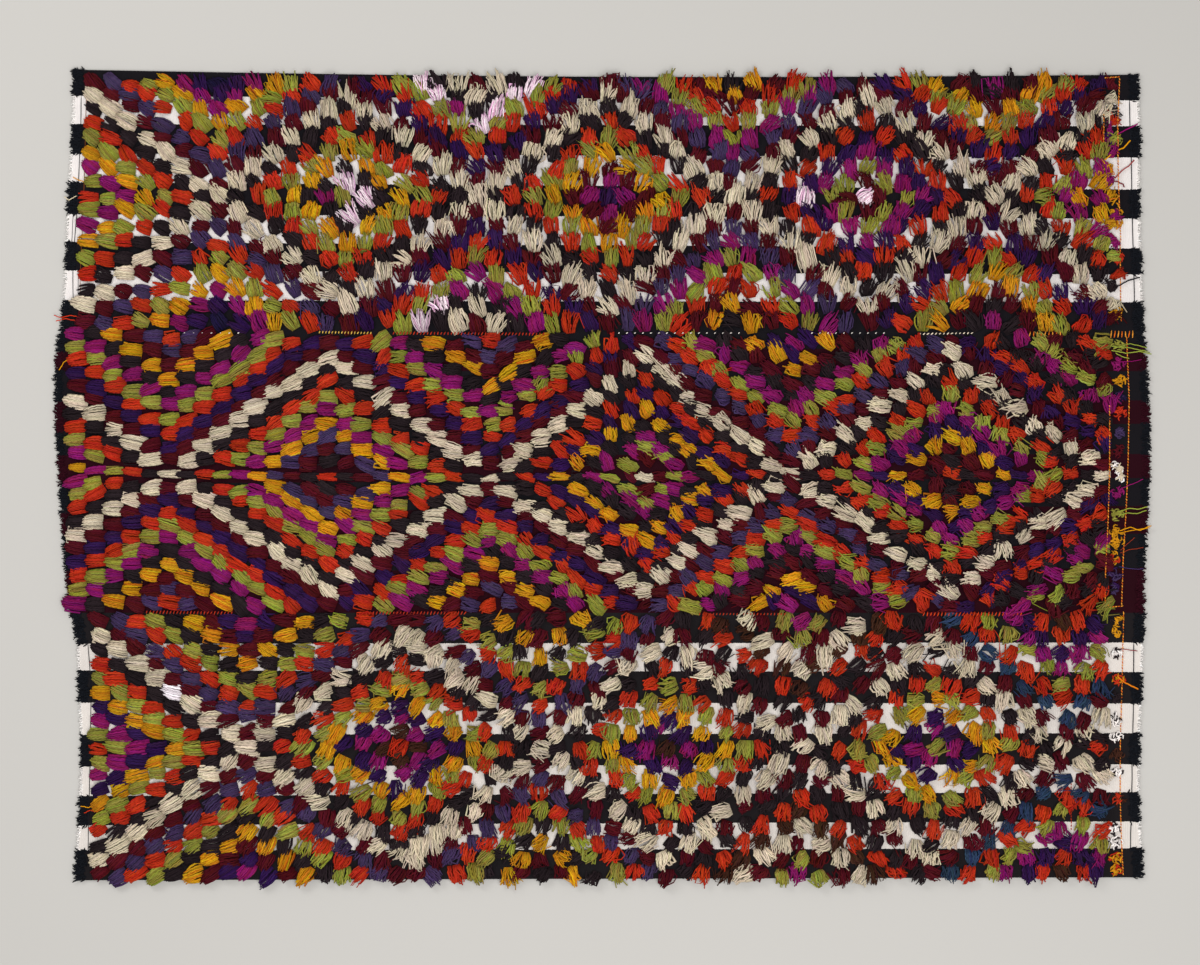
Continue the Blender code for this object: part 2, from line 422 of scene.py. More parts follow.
# The lie swirls slowly over the rug, in radians a pixel. Down the far strip it turns evenly from
# one edge to the other; in the other two it turns mostly at their middle, the more the sharper.
SWIRL_ALONG, SWIRL_SLANT, SWIRL_DOWN = 0.043, 0.021, 0.063
MIDDLE_TURN = {"middle": 6.0, "near": 4.0}

# In the middle strip tufts that lie along a side of the diamonds, at about this tilt in degrees,
# reach the next tuft of their own colour, so they are longer and narrower
CHAIN_TILT, CHAIN_SPREAD = 30, 14
CHAIN_LENGTHENS, CHAIN_NARROWS = 0.22, 0.06

# The fold along the rug crushes one row of the middle strip's knots, which lie flat to the left
# with little lean, and pushes the two rows beside it away, by pixels
CREASE_ROW, CREASE_WAY = 11, 180
CREASE_WIDTH, CREASE_HEIGHT, CREASE_LEAN, CREASE_STRAY = 0.50, 0.45, 0.4, 0.4
BESIDE_SHIFT, BESIDE_WIDTH = 1.3, 0.93

# Folds across the strips: photograph column, first and last row, and strength. At full strength
# they flatten and narrow the tufts, part them by pixels and turn them up along the fold.
Fold = namedtuple("Fold", "column first last strength")
FOLDS = (Fold(620, 240, 478, 1.0), Fold(931, 500, 760, 0.5))
FOLD_HALF_WIDTH = 11
FOLD_FLATTENS, FOLD_NARROWS, FOLD_PARTS = 0.55, 0.30, 3.0
FOLD_WAY, FOLD_TURNS = 95, 0.6

# How many knots a line holds; the near strip's first lines are knotted more closely
KNOTS_IN_LINE = {"far": 17, "middle": 21, "near": 17}
CLOSE_LINES, KNOTS_IN_CLOSE_LINE = 20, 19

# Photograph rows of the knots, by row of knots or by photograph column. The far strip's first rows
# are close together and its first lines lean by pixels; the middle strip's rows follow its far
# seam and the fold.
FAR_ROWS = ((1, 85), (2, 94.5), (3, 107.5), (11, 226), (17, 321))
FAR_LEAN = ((0, 5.0), (8, 0.0))
MIDDLE_FIRST_ROW = ((76, 332), (170, 337), (330, 343), (900, 343), (1102, 339))
MIDDLE_CREASE = ((76, 467), (168, 474), (440, 478), (792, 474.5))
MIDDLE_LAST_ROW = 602
NEAR_FIRST_ROW, NEAR_LAST_ROW = 622, 874


def between(table, at):
    """What a table of pairs gives at a place between its rows."""
    places, values = zip(*table)
    return float(np.interp(at, places, values))


def rows_in(strip, line):
    """How many knots a line holds."""
    if strip == "near" and line < CLOSE_LINES:
        return KNOTS_IN_CLOSE_LINE
    return KNOTS_IN_LINE[strip]


def knot_place(strip, line, row):
    """Photograph column and row of a knot."""
    column = between(LINE_COLUMNS[strip], line)
    last = rows_in(strip, line)
    if strip == "far":
        middle = (last + 1) / 2
        lean = between(FAR_LEAN, line) * (middle - row) / (middle - 1)
        return column + lean, between(FAR_ROWS, row)
    if strip == "middle":
        first, crease = between(MIDDLE_FIRST_ROW, column), between(MIDDLE_CREASE, column)
        return column, between(((1, first), (CREASE_ROW, crease), (last, MIDDLE_LAST_ROW)), row)
    depth = NEAR_LAST_ROW - NEAR_FIRST_ROW
    return column, NEAR_FIRST_ROW + depth * (row - 1) / (last - 1)


def knot_wool(strip, line, row):
    """The wool of a knot, from the diamond whose rings reach it first."""
    if (line, row) in MENDED[strip]:
        return MENDED[strip][line, row]
    count = rows_in(strip, line)
    chosen = None
    for lies in ("middle", "edges"):
        across = abs(row - (count + 1) / 2) if lies == "middle" else min(row - 1, count - row)
        for middle_line, wools in DIAMONDS[strip, lies].items():
            rings = wools.split()
            ring = abs(line - middle_line) + across
            spare = ring - (len(rings) - 1)
            if chosen is None or spare < chosen[0]:
                chosen = (spare, rings[int(min(ring, len(rings) - 1))])
    return chosen[1]


# A strand's cross section, as shares of its half width: both feet and the ridge between them
ARCH_ACROSS, ARCH_ABOVE = (0.87, 0.0, -0.87), (-0.5, 1.0, -0.5)
# Shading of a strand: how far its nap moves its turns, in radians, and its plies sway across it,
# how much its nap and its roundness lighten it, and the darkest and lightest share of its dye: the
# painted shade along its sides and between its plies, and the painted light on its ridge
NAP_SHIFT, PLY_SWAY, NAP_SHADE, ROUND = 5.0, 0.30, 0.8, 0.6
DARKEST, LIGHTEST = 0.45, 1.33


def strand_mesh(name, centres, half_widths, colours, flatness):
    """One mesh of many strands that lie on something.

    centres is (strand, ring, 3), half_widths (strand, ring) and colours (strand, ring, 3). Each
    strand is an arch of two faces with a ridge on top, open underneath and closed at its tip;
    flatness is its height to its width.
    """
    count, rings = half_widths.shape
    tangent = np.gradient(centres, axis=1)
    tangent /= np.linalg.norm(tangent, axis=2, keepdims=True) + 1e-12
    side = np.stack([-tangent[..., 1], tangent[..., 0], np.zeros((count, rings))], axis=2)
    side /= np.linalg.norm(side, axis=2, keepdims=True) + 1e-9
    up = np.cross(tangent, side)
    across = np.array(ARCH_ACROSS)
    above = np.array(ARCH_ABOVE) * flatness
    arch = (across[:, None] * side[:, :, None, :] + above[:, None] * up[:, :, None, :])
    points = centres[:, :, None, :] + half_widths[:, :, None, None] * arch
    points = points.reshape(-1, 3)

    first = (np.arange(count) * rings * 3)[:, None, None]
    ring = (np.arange(rings - 1) * 3)[None, :, None]
    here = np.arange(2)[None, None, :]
    quads = np.stack(
        [first + ring + here, first + ring + here + 3, first + ring + here + 4,
         first + ring + here + 1], axis=3,
    ).reshape(count, -1)
    tip = first[:, 0, :] + (rings - 1) * 3 + np.array([[0, 2, 1]])
    corners = np.concatenate([quads, tip], axis=1).ravel()
    sizes = np.tile([4] * ((rings - 1) * 2) + [3], count)
    starts = np.concatenate([[0], np.cumsum(sizes)[:-1]])

    mesh = bpy.data.meshes.new(name)
    mesh.vertices.add(len(points))
    mesh.vertices.foreach_set("co", points.astype(np.float32).ravel())
    mesh.loops.add(len(corners))
    mesh.loops.foreach_set("vertex_index", corners.astype(np.int32))
    mesh.polygons.add(len(sizes))
    mesh.polygons.foreach_set("loop_start", starts.astype(np.int32))
    mesh.polygons.foreach_set("loop_total", sizes.astype(np.int32))
    mesh.update(calc_edges=True)
    mesh.validate()

    paint = mesh.attributes.new("wool", "FLOAT_COLOR", "POINT")
    painted = np.ones((count, rings, 3, 4), np.float32)
    painted[..., :3] = colours[:, :, None, :]
    paint.data.foreach_set("color", painted.ravel())

    around = np.array([[0.0, 0.0, 0.5, 0.5], [0.5, 0.5, 1.0, 1.0]])
    along = np.arange(rings - 1)[:, None, None] + np.array([0, 1, 1, 0])
    walls = np.stack(np.broadcast_arrays(around, along / (rings - 1)), axis=3).reshape(-1, 2)
    end = np.array([[0.0, 1.0], [1.0, 1.0], [0.5, 1.0]])
    uv = np.tile(np.concatenate([walls, end]), (count, 1))
    mesh.uv_layers.new(name="strand").data.foreach_set("uv", uv.astype(np.float32).ravel())
    mesh.shade_smooth()
    obj = bpy.data.objects.new(name, mesh)
    bpy.context.scene.collection.objects.link(obj)
    return obj


def wool_material(name, turns):
    """Loosely plied wool: its dye, with painted shade at its sides and between the turns of its plies.
    """
    material = bpy.data.materials.new(name)
    parts = add_nodes(material)
    node, link, _ = parts

    def maths(operation, first, second=0.0, third=0.0):
        made = node("ShaderNodeMath", operation=operation)
        for slot, value in enumerate((first, second, third)):
            if isinstance(value, float):
                made.inputs[slot].default_value = value
            else:
                link(value, made.inputs[slot])
        return made.outputs[0]

    # The wool attribute holds each strand's dye with its painted shade from knot to tip
    dye = node("ShaderNodeAttribute", attribute_name="wool")
    place = node("ShaderNodeTexCoord")
    nap = node("ShaderNodeTexNoise", Scale=800.0, Detail=2.0)
    link(place.outputs["Object"], nap.inputs["Vector"])
    strand = node("ShaderNodeUVMap", uv_map="strand")
    split = node("ShaderNodeSeparateXYZ")
    link(strand.outputs["UV"], split.inputs[0])
    phase = maths("MULTIPLY_ADD", nap.outputs["Fac"], NAP_SHIFT, 0.0)
    phase = maths("MULTIPLY_ADD", split.outputs["Y"], 2 * math.pi * turns, phase)
    sway = maths("MULTIPLY", maths("SINE", phase), PLY_SWAY)
    across = maths("MULTIPLY_ADD", split.outputs["X"], 2.0, -1.0)
    edge = maths("ABSOLUTE", maths("ADD", across, sway))
    fibre_shade = maths("MULTIPLY_ADD", nap.outputs["Fac"], NAP_SHADE, maths("SUBTRACT", ROUND, edge))
    # Painted shade: dark along the strand's sides and between its plies; painted light on its ridge
    shade = node("ShaderNodeMapRange", To_Min=DARKEST, To_Max=LIGHTEST)
    link(fibre_shade, shade.inputs["Value"])
    finish_wool(parts, dye.outputs["Color"], shade.outputs["Result"], fibre_shade, 0.5, 0.0006)
    return material


# Strands stray a little from an even spread and cling together in points: chance of an open brush
# and of a curly lock, counts from the first number up to below the second, and how they cling
SPREAD_STRAY, OPEN_SHARE, CURLY_FROM, CURLY_SHARE = 0.05, 0.85, 0.35, 1.4
BRUSH_POINTS, CURLY_POINTS = (3, 7), (2, 4)
BRUSH_CLING, CURLY_CLING, PLAIN_CLING = 0.7, 0.62, 0.25

# Width of a tuft at its knot, belly and end, as shares of the tuft's own, and what frizz changes
Outline = namedtuple("Outline", "knot belly opening")
BRUSH, LOCK = Outline(0.50, 0.92, 1.20), Outline(1.00, 1.04, 1.02)
FRIZZ_CHANGE = Outline(0.38, 0.20, 0.55)

# A plain share and what full frizz adds to it: how round and ragged a tuft's end is, how much
# its points differ in reach (fan adds to this one), the share of strands that stay looped, and
# the width of a tip, which frizz makes less. Then how much further a stray reaches at most, and
# how far a loop turns back, as shares of the length.
END_ROUND, END_RAGGED, POINT_REACH = (0.12, 0.10), (0.02, 0.06), (0.03, 0.08)
LOOPED, TIP = (0.04, 0.20), (0.95, -0.5)
STRAY_REACH, LOOP_TURN = 0.16, 0.8

# Bends in metres: a point's curl backwards and aside, a stray's and a strand's lean and wave, a
# whole tuft's bend, and the spread of a loop; then the half turns in a wave
CURL_BACK, CURL_ASIDE, TUFT_BEND, LOOP_SPREAD = 0.0024, 0.0042, 0.0076, 0.006
STRAY_LEAN, STRAND_LEAN, STRAY_WAVE, STRAND_WAVE = 0.0030, 0.0008, 0.0046, 0.0026
WAVE_TURNS = (0.7, 1.6)

# Places of a strand's rings from knot to tip, and its shares of the tuft's height and of its own
# width there. Metres then: how high it starts, and what being a stray, frizz and chance add.
# Last, how much lower a tuft's sides are, the range of widths, and a brush's share of them.
RING_STEPS, RING_HEIGHTS, RING_WIDTHS = (0, 0.33, 0.67, 1), (0.2, 0.95, 1.0, 0.5), (0.9, 1.0, 0.9, 0.0)
PILE_FOOT, STRAY_LIFT, FRIZZ_LIFT, CROWN_STRAY = 0.0030, 0.0016, 0.0020, 0.0008
CROWN_ROUND, STRAND_WIDTHS, BRUSH_WIDTH = 0.38, (0.8, 1.2), 0.8

# How dyes differ from strand to strand and tuft to tuft; then painted shade, darker at the knot and a
# little lighter towards the tip
STRAND_TONE, TUFT_TONE, STRAND_HUE, TUFT_HUE = 0.12, 0.08, 0.20, 0.07
KNOT_TO_TIP_STEPS, KNOT_TO_TIP_SHADE = (0, 0.33, 1), (0.70, 1.0, 1.05)


def frizzed(pair, frizz):
    """A plain share and what frizz adds to it."""
    return pair[0] + pair[1] * frizz


def tuft_strands(tufts, rng):
    """Centre lines, half widths and colours of all the strands of many tufts.

    tufts is a dictionary of arrays, one value for each tuft: x, y, angle, length, width, height,
    fan, frizz, looped, colour and second (the wool of every third strand).
    """
    count = len(tufts["x"])
    shape = (count, STRANDS, 1)
    step = np.linspace(0, 1, RINGS)[None, None, :]
    tuft = {name: value[:, None, None] for name, value in tufts.items() if value.ndim == 1}
    stray = np.isin(np.arange(STRANDS), STRAY_STRANDS)[None, :, None]
    spread = np.linspace(-1, 1, STRANDS)[None, :, None] + rng.normal(0, SPREAD_STRAY, shape)
    looped = (rng.random(shape) < tuft["looped"]).astype(float)

    # Strands of a brush cling together in a few points, more of them where the brush is open
    fan, frizz = tuft["fan"], tuft["frizz"]
    open_brush = rng.random((count, 1, 1)) < fan * OPEN_SHARE
    curly = rng.random((count, 1, 1)) < (frizz - CURLY_FROM) * CURLY_SHARE
    few = rng.integers(*CURLY_POINTS, (count, 1, 1))
    many = rng.integers(*BRUSH_POINTS, (count, 1, 1))
    most = BRUSH_POINTS[1]
    points = np.where(open_brush, many, np.where(curly, few, 1))
    point = np.clip(np.floor((spread + 1) / 2 * points), 0, points - 1)
    point_middle = (point + 0.5) / points * 2 - 1
    cling = np.where(open_brush, BRUSH_CLING, np.where(curly, CURLY_CLING, PLAIN_CLING)) * step**2
    across = spread * (1 - cling) + point_middle * cling
    point_reach = rng.normal(1.0, frizzed(POINT_REACH, fan), (count, most, 1))
    point_reach = np.take_along_axis(point_reach, point.astype(int), axis=1)
    point_curl = rng.normal(0, 1, (count, most, 1))
    point_curl = np.take_along_axis(point_curl, point.astype(int), axis=1) * frizz

    # Outline of the tuft: a fan from a narrow knot, or a full lock that stays closed at its end
    closing = rng.uniform(0.0, FRIZZ_CHANGE.opening, (count, 1, 1)) * frizz
    opening = np.where(open_brush, BRUSH.opening, LOCK.opening - closing)
    knot = np.where(open_brush, BRUSH.knot, LOCK.knot - FRIZZ_CHANGE.knot * frizz)
    belly = np.where(open_brush, BRUSH.belly, LOCK.belly + FRIZZ_CHANGE.belly * frizz)
    outline = knot * (1 - step) ** 2 + 2 * belly * step * (1 - step) + opening * step**2
    reach = tuft["length"] * (1 - frizzed(END_ROUND, frizz) * spread**2) * point_reach
    ragged = rng.normal(0, 1, shape) * frizzed(END_RAGGED, frizz)
    reach = reach * (1 + ragged + stray * frizz * rng.uniform(0.0, STRAY_REACH, shape))
    forward = reach * step - tuft["length"] / 2
    back = reach * (0.5 - (2 * step - 1) ** 2 * LOOP_TURN)
    forward = forward * (1 - looped) + back * looped
    forward = forward - np.abs(point_curl) * CURL_BACK * step**3
    aside = tuft["width"] / 2 * across * outline
    lean = np.where(stray, STRAY_LEAN, STRAND_LEAN)
    aside = aside + rng.normal(0, 1, shape) * lean * frizz * step**2
    aside = aside + looped * (step - 0.5) * rng.normal(0, LOOP_SPREAD, shape)
    aside = aside + point_curl * CURL_ASIDE * step**3
    wave = rng.normal(0, 1, shape) * np.sin(math.pi * step * rng.uniform(*WAVE_TURNS, shape))
    common = rng.normal(0, 1, (count, 1, 1)) * step**2
    waves = np.where(stray, STRAY_WAVE, STRAND_WAVE) * wave
    aside = aside + frizz * (waves + TUFT_BEND * common)

    # Height: out of the knot, over the crown, and down on to the next knot
    profile = np.interp(step, RING_STEPS, RING_HEIGHTS)
    crown = tuft["height"] * (1 - CROWN_ROUND * spread**2) + rng.normal(0, CROWN_STRAY, shape)
    z = PILE_FOOT + crown * profile + stray * STRAY_LIFT * np.sqrt(step)
    z = z + frizz * np.abs(rng.normal(0, FRIZZ_LIFT, shape)) * step

    cos, sin = np.cos(tuft["angle"]), np.sin(tuft["angle"])
    x = tuft["x"] + cos * forward - sin * aside
    y = tuft["y"] + sin * forward + cos * aside
    centres = np.stack([x, y, np.broadcast_to(z, x.shape)], axis=3).reshape(-1, RINGS, 3)

    thick = np.interp(step, RING_STEPS, RING_WIDTHS) + (step == 1) * frizzed(TIP, frizz)
    half_widths = np.where(stray, STRAY_HALF_WIDTH, STRAND_HALF_WIDTH * thick)
    half_widths = half_widths * rng.uniform(*STRAND_WIDTHS, shape)
    half_widths = half_widths * np.where(open_brush, BRUSH_WIDTH, 1.0)
    half_widths = np.broadcast_to(half_widths, x.shape).reshape(-1, RINGS)

    odd = (np.arange(STRANDS) % 3 == 1)[None, :, None, None]
    dye = np.where(odd, tufts["second"][:, None, None, :], tufts["colour"][:, None, None, :])
    each, whole = (count, STRANDS, 1), (count, 1, 1)
    tone = rng.normal(1.0, STRAND_TONE, (*each, 1)) * rng.normal(1.0, TUFT_TONE, (*whole, 1))
    vivid = (1 - dye.min(axis=3, keepdims=True) / dye.max(axis=3, keepdims=True)) ** 2
    hue = rng.normal(0, STRAND_HUE, (*each, 3)) + rng.normal(0, TUFT_HUE, (*whole, 3))
    tone = tone * (1 + vivid * hue * np.array([0, 1, 1]))
    # Painted shade: strands are darker at the knot, where the pile shades them, and lighter at the tip
    knot_shade = np.interp(step, KNOT_TO_TIP_STEPS, KNOT_TO_TIP_SHADE)[..., None]
    colours = np.clip(dye * tone * knot_shade, 0.0, 1.0)
    colours = np.broadcast_to(colours, (count, STRANDS, RINGS, 3)).reshape(-1, RINGS, 3)
    return centres, half_widths, colours


Tuft = namedtuple("Tuft", "x y angle length width height fan frizz looped colour second")


def tuft_of(column, row, wool, angle, length, width, height, fan, frizz):
    """One tuft, from its photograph place, its wool and its shape."""
    return Tuft(at_x(column), at_y(row), math.radians(angle), length, width, height, fan, frizz,
                frizzed(LOOPED, frizz), linear(WOOL[wool])[:3], linear(MIXED.get(wool, WOOL[wool]))[:3])


def strip_tufts(strip, rng):
    """All the tufts of a strip, from its diamonds and the way its pile lies."""
    columns, *parts = zip(*LAYS[strip])
    tufts = []
    for line in range(LINE_COLUMNS[strip][-1][0] + 1):
        count = rows_in(strip, line)
        for row in range(1, count + 1):
            column, photo_row = knot_place(strip, line, row)
            down = (row - 1) / (count - 1)
            lay = Lay(column, *(float(np.interp(column, columns, part)) for part in parts))
            swirl = math.sin(column * SWIRL_ALONG + photo_row * SWIRL_SLANT)
            swirl *= math.cos(photo_row * SWIRL_DOWN)
            if strip != "far":
                down = 0.5 + 0.5 * math.tanh(MIDDLE_TURN[strip] * (down - 0.5))
            angle = lay.far * (1 - down) + lay.near * down + (rng.normal() + swirl) * lay.wander
            upright = abs(math.sin(math.radians(angle)))
            width = TUFT_WIDTH_UPRIGHT * upright + TUFT_WIDTH_LYING * (1 - upright)
            width *= lay.size * rng.uniform(*WIDTH_RANGE)
            length = TUFT_LENGTH * lay.size * rng.uniform(*LENGTH_RANGE)
            length *= 1 - FRIZZ_SHORTENS * lay.frizz
            height = PILE_HEIGHT * lay.size * rng.uniform(*HEIGHT_RANGE)
            tilt = math.degrees(math.asin(upright))
            if strip == "middle":
                chained = math.exp(-(((tilt - CHAIN_TILT) / CHAIN_SPREAD) ** 2))
                length *= 1 + CHAIN_LENGTHENS * chained
                width *= 1 - CHAIN_NARROWS * chained
            crease = strip == "middle" and row == CREASE_ROW
            if crease:
                angle = CREASE_WAY + CREASE_LEAN * (angle - CREASE_WAY)
                width *= CREASE_WIDTH
                height *= CREASE_HEIGHT
            elif strip == "middle" and abs(row - CREASE_ROW) == 1:
                photo_row += BESIDE_SHIFT * (row - CREASE_ROW)
                width *= BESIDE_WIDTH
            for fold in FOLDS:
                away = (column - fold.column) / FOLD_HALF_WIDTH
                if fold.first < photo_row < fold.last and abs(away) < 2:
                    pressed = fold.strength * math.exp(-away * away)
                    height *= 1 - FOLD_FLATTENS * pressed
                    width *= 1 - FOLD_NARROWS * pressed
                    angle += (FOLD_WAY - angle) * FOLD_TURNS * pressed
                    column += math.copysign(FOLD_PARTS * pressed, away)
            stray = CREASE_STRAY if crease else TUFT_STRAY + FRIZZY_STRAY * lay.frizz
            column += rng.normal(0, stray)
            photo_row += rng.normal(0, stray)
            wool = knot_wool(strip, line, row)
            bulk = BULKY.get(wool, 1.0)
            tufts.append(tuft_of(column, photo_row, wool, angle, length * bulk, width * bulk,
                                 height * bulk, lay.fan, lay.frizz))
    return tufts


# Stubby knots near the right end, cut off close to the cloth so that only short curly ends
# are left: photograph column, row, and the wool, or both wools that the ends take in turn.
STUBS = {
    "far": (
        (1112, 106, "white", "black"), (1110, 124, "magenta"), (1110, 136, "violet", "magenta"),
        (1117, 210, "gold"), (1117, 222, "gold", "orange"), (1113, 243, "white", "black"),
        (1118, 257, "orange"), (1117, 312, "gold"),
    ),
    "middle": (
        (1120, 345, "green"), (1119, 364, "magenta"), (1121, 380, "gold"),
        (1121, 396, "night", "lavender"), (1121, 413, "orange"), (1120, 433, "lavender"),
        (1119, 451, "maroon"), (1118, 466, "cream", "white"), (1121, 475, "cream", "white"),
        (1118, 492, "magenta"), (1117, 515, "green"), (1116, 533, "gold"), (1117, 542, "gold"),
        (1115, 558, "orange", "gold"), (1116, 575, "lavender", "violet"),
        (1115, 588, "lavender", "violet"),
    ),
    "near": (
        (1118, 620, "gold", "black"), (1118, 632, "gold", "black"), (1117, 654, "white", "black"),
        (1119, 680, "orange", "gold"), (1116, 697, "black"), (1116, 720, "white", "black"),
        (1117, 738, "white", "black"), (1117, 756, "brown"), (1117, 772, "white", "black"),
        (1119, 800, "orange", "brown"), (1115, 829, "white", "black"),
        (1116, 842, "white", "black"), (1117, 859, "gold", "orange"),
        (1116, 871, "gold", "orange"),
    ),
}
STUB_ENDS = 22
STUB_HALF_LENGTH, STUB_HALF_HEIGHT = 7.0 * PIXEL, 6.5 * PIXEL
END_LENGTH, END_HALF_WIDTH, END_LIFT = 5.4 * PIXEL, 0.0016, 0.0044
# Every second end lies higher; ends bend, arch up in the middle and are thinner at both tips
END_OVER, END_STRAY, END_ARCH, END_BEND, END_TIP = 0.0014, 0.0006, 0.0008, 0.25, 0.6
END_TONE = (1.1, 0.15)


def stub_ends(strip, rng):
    """Centre lines, half widths and colours of the cut ends of a strip's stubby knots."""
    centres, half_widths, colours = [], [], []
    for column, row, *wools in STUBS[strip]:
        for number in range(STUB_ENDS):
            across, down = rng.uniform(-1, 1, 2)
            x = at_x(column) + (across + down) / 2 * STUB_HALF_LENGTH
            y = at_y(row) + (across - down) / 2 * STUB_HALF_HEIGHT
            way, run = rng.uniform(0, math.pi), np.linspace(-0.5, 0.5, RINGS)
            bend = rng.normal(0, END_BEND) * (1 - 4 * run**2)
            ahead, aside = run * END_LENGTH, bend * END_LENGTH
            over = END_OVER if number % 2 == 0 else 0.0
            z = END_LIFT + over + rng.uniform(0, END_STRAY) + END_ARCH * np.array([-1, 1, 1, -1])
            centres.append(np.stack([x + ahead * math.cos(way) - aside * math.sin(way),
                                     y + ahead * math.sin(way) + aside * math.cos(way), z], axis=1))
            half_widths.append(END_HALF_WIDTH * np.array([END_TIP, 1, 1, END_TIP]))
            dye = np.array(linear(WOOL[wools[number % len(wools)]])[:3])
            colours.append(np.tile(np.clip(dye * rng.normal(*END_TONE), 0, 1), (RINGS, 1)))
    return np.array(centres), np.array(half_widths), np.array(colours)


PILE_SEED, PILE_TURNS = 40, 4
pile_wool = wool_material("pile_wool", turns=PILE_TURNS)
pile = {}
for number, strip in enumerate(("far", "middle", "near")):
    rng = np.random.default_rng(PILE_SEED + number)
    tufts = strip_tufts(strip, rng)
    tufts = {name: np.array([getattr(tuft, name) for tuft in tufts]) for name in Tuft._fields}
    middle_x = np.median(tufts["x"])
    for side, chosen in (("left", tufts["x"] < middle_x), ("right", tufts["x"] >= middle_x)):
        part = {name: value[chosen] for name, value in tufts.items()}
        strands = tuft_strands(part, rng)
        if side == "right":
            strands = [np.concatenate(both) for both in zip(strands, stub_ends(strip, rng))]
        half = strand_mesh("pile_" + strip + "_" + side, *strands, STRAND_FLATNESS)
        half.data.materials.append(pile_wool)
        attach(half, "root")
        pile.setdefault(strip, []).append(half)


# Cut warp ends: the black and maroon wool warps are cut short and stand out as a dense dark nap
# beyond the last weft, the white cotton ones as a thin pale fringe.
DARK_FRAYS = {BLACK_WARP: "14161B", WORN_BLACK_WARP: "14161B", MAROON_WARP: "2B0A14"}
PALE_COTTON = "F2ECE8"

# Pixels from warp to warp, how far inside the cloth's end each layer starts and the range of
# lengths; height and half width in metres. The middle strip has fewer layers.
Fray = namedtuple("Fray", "pitch insets lengths lift half_width")
DARK_FRAY = Fray(0.8, (0.5, 2.8, 5.2, 8.0), (3.0, 5.2), 0.0030, 0.0013)
PALE_FRAY = Fray(0.8, (0.8,), (2.8, 5.0), 0.0022, 0.0008)
MIDDLE_LAYERS = 3

# Dark ends stand in clumps: depth in pixels and turn in radians a pixel. All ends stray by pixels
# along the rug and across it, lean by radians and lie at different heights.
CLUMPS = ((0.9, 0.9), (0.8, 0.37))
ACROSS_STRAY, ALONG_STRAY, FRAY_LEAN, LIFT_RANGE = 0.3, 0.6, 0.35, 0.0010
BRISTLE_BEND, BRISTLE_STRAY, BRISTLE_TONE = 0.35, 0.0003, 0.12
BRISTLE_HEIGHTS, BRISTLE_WIDTHS = (0, 0.0014, 0.0004), (0.9, 1.0, 0.45)
FRAY_FLATNESS, FRAY_SEED, FRAY_TURNS = 0.8, 7, 2


def bristles(x, y, z, angle, length, half_width, colour, rng):
    """Short strands of three rings that leave their feet at an angle and fall a little."""
    count = len(x)
    step = np.array([0, 0.5, 1])
    bend = rng.normal(0, BRISTLE_BEND, (count, 1)) * step
    run = length[:, None] * step
    centres = np.stack(
        [x[:, None] + run * np.cos(angle[:, None] + bend),
         y[:, None] + run * np.sin(angle[:, None] + bend),
         z[:, None] + np.array(BRISTLE_HEIGHTS) + rng.normal(0, BRISTLE_STRAY, (count, 3))], axis=2,
    )
    half_widths = half_width * np.array(BRISTLE_WIDTHS) * rng.uniform(*STRAND_WIDTHS, (count, 1))
    tone = rng.normal(1.0, BRISTLE_TONE, (count, 1, 1))
    colours = np.clip(np.asarray(colour)[:, None, :] * tone, 0, 1).repeat(3, axis=1)
    return centres, half_widths, colours


def frays_of(ground, rng):
    """All the cut warps of a strip, dark and pale, at both ends."""
    feet = []
    for side, outwards in ((1, -1), (2, 1)):
        edges = ground.edges_left if side == 1 else ground.edges_right
        for number, (top, foot) in enumerate(zip(edges, edges[1:])):
            warp = ground.warps[number % 2]
            pale = warp not in DARK_FRAYS
            fray = PALE_FRAY if pale else DARK_FRAY
            layers = fray.insets[:MIDDLE_LAYERS] if ground.node == "panel_middle" else fray.insets
            colour = linear(PALE_COTTON if pale else DARK_FRAYS[warp])[:3]
            for inset in layers:
                rows = np.arange(top, foot, fray.pitch)
                for row in rows + rng.normal(0, ACROSS_STRAY, len(rows)):
                    clump = 0 if pale else sum(deep * math.sin(row * turn) for deep, turn in CLUMPS)
                    past_end = clump - inset + rng.uniform(-ALONG_STRAY, ALONG_STRAY)
                    column = end_of(ground, row, side) + outwards * past_end
                    length = rng.uniform(*fray.lengths)
                    angle = (0 if outwards > 0 else math.pi) + rng.normal(0, FRAY_LEAN)
                    feet.append((at_x(column), at_y(row), angle, length * PIXEL, pale, *colour))
    feet = np.array(feet)
    pale = feet[:, 4] > 0
    z = np.where(pale, PALE_FRAY.lift, DARK_FRAY.lift) + rng.uniform(0, LIFT_RANGE, len(feet))
    half_width = np.where(pale, PALE_FRAY.half_width, DARK_FRAY.half_width)[:, None]
    return bristles(feet[:, 0], feet[:, 1], z, feet[:, 2], feet[:, 3], half_width, feet[:, 5:8], rng)


fray_wool = wool_material("fray_wool", turns=FRAY_TURNS)
rng = np.random.default_rng(FRAY_SEED)
for ground in GROUNDS:
    strip = ground.name.split("_")[1]
    fringe = strand_mesh("frays_" + strip, *frays_of(ground, rng), FRAY_FLATNESS)
    fringe.data.materials.append(fray_wool)
    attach(fringe, "root")


# Sewing: running stitches in orange thread that hold the right end, and overcast stitches in red,
# orange and pale thread along the seams between the strips.
THREAD_HALF_WIDTH = 0.0012

# Thread, pixels from stitch to stitch and along one, its slant to the seam in degrees, its height
# in metres, and the photograph points that the seam runs through
ORANGE_THREAD, RED_THREAD = "E89A38", "A8301C"
CREAM_THREAD = "E8E0D8"
RUNNING = (ORANGE_THREAD, 2.9, 2.5, 12)
